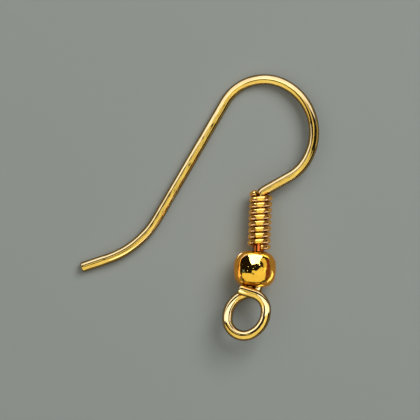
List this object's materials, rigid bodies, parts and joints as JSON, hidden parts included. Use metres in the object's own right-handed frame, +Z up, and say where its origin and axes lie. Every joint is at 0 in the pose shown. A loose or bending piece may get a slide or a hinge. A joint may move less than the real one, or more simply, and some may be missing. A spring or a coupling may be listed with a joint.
{
  "type": "fish-hook ear wire with ball bead and coil",
  "caption": "French-hook ear wire: a bent gold-plated wire with a flared tail, an arch, a wound coil, a ball bead and an open-wound eye for a drop.",
  "frame": {"origin": "middle of the part's box in X and Y, on the flat surface that it lies on", "axes": "+Z is up, away from the surface, towards the side on which the eye's tip crosses. +Y runs from the eye to the arch. +X runs from the tail to the arch's outer side"},
  "size_m": [0.017, 0.019, 0.003],
  "materials": {
    "wire_gold": "polished gold plate on drawn wire, with fine die lines",
    "bead_gold": "mirror-polished gold plate",
    "coil_gold": "polished gold plate on close-wound wire"
  },
  "bodies": {
    "ear_wire": {"ear_wire": "wire_gold"},
    "ball_bead": {"ball_bead": "bead_gold"},
    "coil": {"coil": "coil_gold"}
  },
  "joints": [
    {"name": "bead_spin", "type": "hinge", "parent": "ear_wire", "child": "ball_bead", "pos_m": [0.00395, -0.00441, 0.00152], "axis": [0.0412, 0.9969, -0.0674], "continuous": true},
    {"name": "coil_turn", "type": "hinge", "parent": "ear_wire", "child": "coil", "pos_m": [0.00431, -0.00096, 0.00117], "axis": [0.0412, 0.9969, -0.0674], "range_deg": [-30, 45]}
  ]
}
